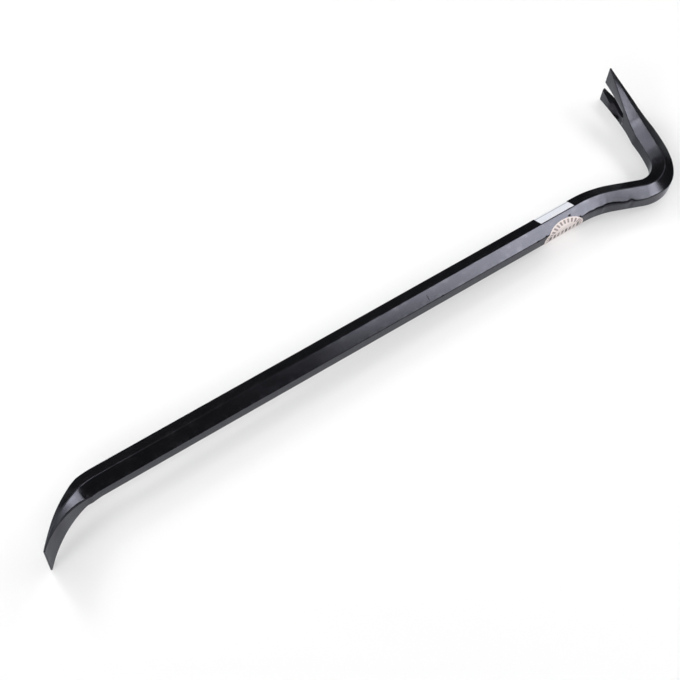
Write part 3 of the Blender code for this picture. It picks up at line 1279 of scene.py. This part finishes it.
@dataclass(frozen=True)
class Softbox:
    """A rectangular light: its place, the point it looks at and its size in metres, its power in watts."""

    name: str
    place: Point
    target: Point
    width: float
    height: float
    power: float
    shadows: bool = True

    def build(self) -> None:
        """Adds the light to the scene."""
        lamp = bpy.data.lights.new(self.name, "AREA")
        lamp.shape = "RECTANGLE"
        lamp.size = self.width
        lamp.size_y = self.height
        lamp.energy = self.power
        lamp.use_shadow = self.shadows
        made = bpy.data.objects.new(self.name, lamp)
        bpy.context.scene.collection.objects.link(made)
        made.location = self.place
        away = Vector(self.place) - Vector(self.target)
        made.rotation_euler = away.to_track_quat("Z", "Y").to_euler()


MIDDLE: Point = (0.0, 0.0, 0.0)
SHANK_END: Point = (0.25, 0.0, 0.0)
NECK: Point = (0.22, 0.0, 0.0)
CHISEL: Point = (-0.27, -0.05, 0.03)
CLAW: Point = (0.28, 0.06, 0.02)


@dataclass
class Studio:
    """The floor, the lights and the camera.

    The lights of the shank, the neck, the chisel and the claw stand where those parts mirror them to the
    camera. They cast no shadow; the floor's shade comes from the rest.
    """

    floor_size: float = 6.0
    camera_place: Point = (-0.334324, -0.513829, 0.899727)
    camera_turn: Point = (33.0745, 1.4099, -33.8468)
    lens: float = 73.1415
    film: float = 36.0
    nearest: float = 0.01
    lights: tuple[Softbox, ...] = (
        Softbox("shank_wide", (0.80, -0.85, 0.95), SHANK_END, 0.45, 0.55, 1.1, False),
        Softbox("shank_right", (0.86, -0.82, 0.86), SHANK_END, 0.36, 0.36, 4.0, False),
        Softbox("shank_left", (0.62, -0.83, 0.93), NECK, 0.2, 0.34, 1.35, False),
        Softbox("neck_high", (0.50, -0.84, 1.02), NECK, 0.2, 0.13, 0.83, False),
        Softbox("chisel_side", (0.785, -0.622, 0.751), CHISEL, 0.3, 0.2, 1.05, False),
        Softbox("claw_tip", around(CLAW, 157.0, 38.0, 1.1), CLAW, 0.14, 0.14, 0.95, False),
        Softbox("claw_middle", around(CLAW, 145.0, 45.0, 1.1), CLAW, 0.16, 0.2, 1.3, False),
        Softbox("claw_root", around(CLAW, 142.0, 57.0, 1.1), CLAW, 0.28, 0.24, 1.5, False),
        Softbox("right", around(MIDDLE, 5.0, 36.0, 1.7), MIDDLE, 1.0, 0.7, 2.4),
        Softbox("back_right", around(MIDDLE, 25.0, 36.0, 1.7), MIDDLE, 0.5, 0.42, 3.5),
        Softbox("back", around(MIDDLE, 105.0, 36.0, 1.7), MIDDLE, 0.5, 0.42, 7.5),
        Softbox("back_high", around(MIDDLE, 125.0, 52.0, 1.7), MIDDLE, 0.5, 0.42, 0.45),
        Softbox("back_wide", around(MIDDLE, 130.0, 36.0, 1.7), MIDDLE, 1.5, 1.0, 3.75),
        Softbox("left", around(MIDDLE, 200.0, 34.0, 1.6), MIDDLE, 0.9, 0.5, 5.9),
        Softbox("front_left_low", around(MIDDLE, 225.0, 20.0, 1.5), MIDDLE, 0.8, 0.4, 1.0),
        Softbox("front_left", around(MIDDLE, 240.0, 34.0, 1.6), MIDDLE, 0.9, 0.5, 4.6),
        Softbox("front_right", around(MIDDLE, 345.0, 36.0, 1.7), MIDDLE, 0.5, 0.42, 3.4),
        Softbox("overhead", (-0.1, 0.2, 2.4), MIDDLE, 2.4, 2.4, 9.1),
    )

    def build(self) -> None:
        """Sets the floor, the lights and the camera."""
        self._floor()
        for light in self.lights:
            light.build()
        self._camera()
        scene = bpy.context.scene
        scene.view_settings.view_transform = "Standard"
        scene.world = bpy.data.worlds.new("dark_room")
        scene.world.use_nodes = True
        scene.world.node_tree.nodes["Background"].inputs["Strength"].default_value = 0.0

    def _floor(self) -> None:
        """A wide sheet under the object."""
        Bench.clear_selection()
        bpy.ops.mesh.primitive_plane_add(size=self.floor_size)
        floor = Bench("floor").piece
        floor.data.materials.append(FloorPaper().material())

    def _camera(self) -> None:
        """The camera that the photograph was taken from."""
        lens = bpy.data.cameras.new("camera")
        lens.lens = self.lens
        lens.sensor_width = self.film
        lens.clip_start = self.nearest
        camera = bpy.data.objects.new("camera", lens)
        camera.location = self.camera_place
        camera.rotation_euler = [math.radians(turn) for turn in self.camera_turn]
        bpy.context.scene.collection.objects.link(camera)
        bpy.context.scene.camera = camera


class Node(Enum):
    """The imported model's nodes."""

    BAR = "forged_bar"
    BAR_LABEL = "bar_label"
    ROUND_LABEL = "round_label"


def stand_in(piece: bpy.types.Object, node: Node, finish: bpy.types.Material) -> None:
    """Dresses a piece and lets it stand for its node.

    Args:
        piece: The finished piece.
        node: The node it replaces.
        finish: Its material.
    """
    piece.data.materials.clear()
    piece.data.materials.append(finish)
    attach(piece, "root")
    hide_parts(node.value)
    LOG.info("%s stands for %s: %d faces", piece.name, node.value, len(piece.data.polygons))


def main() -> None:
    """Builds every piece in order, then the studio round them."""
    logging.basicConfig(level=logging.INFO, format="%(message)s")
    stand_in(ForgedBar().build(), Node.BAR, BlackPaint().material())
    stand_in(BarLabel().build(), Node.BAR_LABEL, WhitePaper().material())
    stand_in(RoundLabel().build(), Node.ROUND_LABEL, CreamPaper().material())
    Studio().build()


if __name__ == "__main__":
    main()
